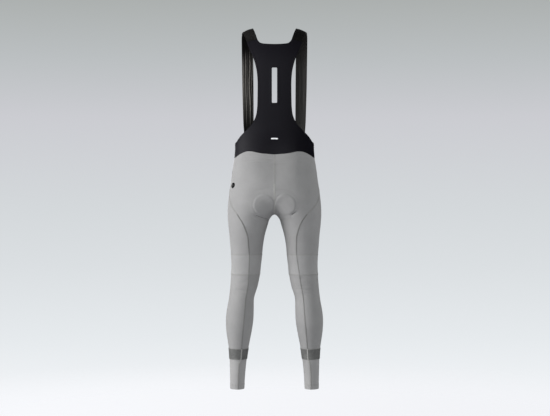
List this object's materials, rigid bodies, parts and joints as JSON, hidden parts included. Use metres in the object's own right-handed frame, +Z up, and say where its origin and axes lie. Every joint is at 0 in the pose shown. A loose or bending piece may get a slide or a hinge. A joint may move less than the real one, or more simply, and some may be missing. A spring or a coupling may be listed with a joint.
{
  "type": "cycling bib tights",
  "caption": "Long cycling tights with a bib: hollow knitted legs and seat, a black back panel with a slot, and ribbed elastic shoulder straps.",
  "frame": {"origin": "midway between the tops of the two straps, at their underside, where the wearer's shoulders carry them", "axes": "+Z up, -Y out of the garment's back, +X towards the wearer's right"},
  "size_m": [0.3776, 0.24, 1.4067],
  "materials": {
    "bib_knit": "smooth black stretch knit",
    "strap_elastic": "ribbed black elastic",
    "grey_knit": "matt grey stretch knit",
    "knee_knit": "matt light grey stretch knit",
    "reflective_knit": "dark grey reflective stretch knit",
    "pad_cloth": "brushed black pad",
    "badge": "smooth black bonded disc"
  },
  "bodies": {
    "root": {"bib_back_panel": "bib_knit", "strap_left": "strap_elastic", "strap_right": "strap_elastic", "seat_panel_left": "grey_knit", "seat_panel_right": "grey_knit", "front_panel_left": "grey_knit", "front_panel_right": "grey_knit", "knee_band_left": "knee_knit", "knee_band_right": "knee_knit", "calf_panel_left": "grey_knit", "calf_panel_right": "grey_knit", "reflective_band_left": "reflective_knit", "reflective_band_right": "reflective_knit", "ankle_cuff_left": "grey_knit", "ankle_cuff_right": "grey_knit", "seat_pad": "pad_cloth", "hip_badge": "badge"}
  },
  "joints": []
}
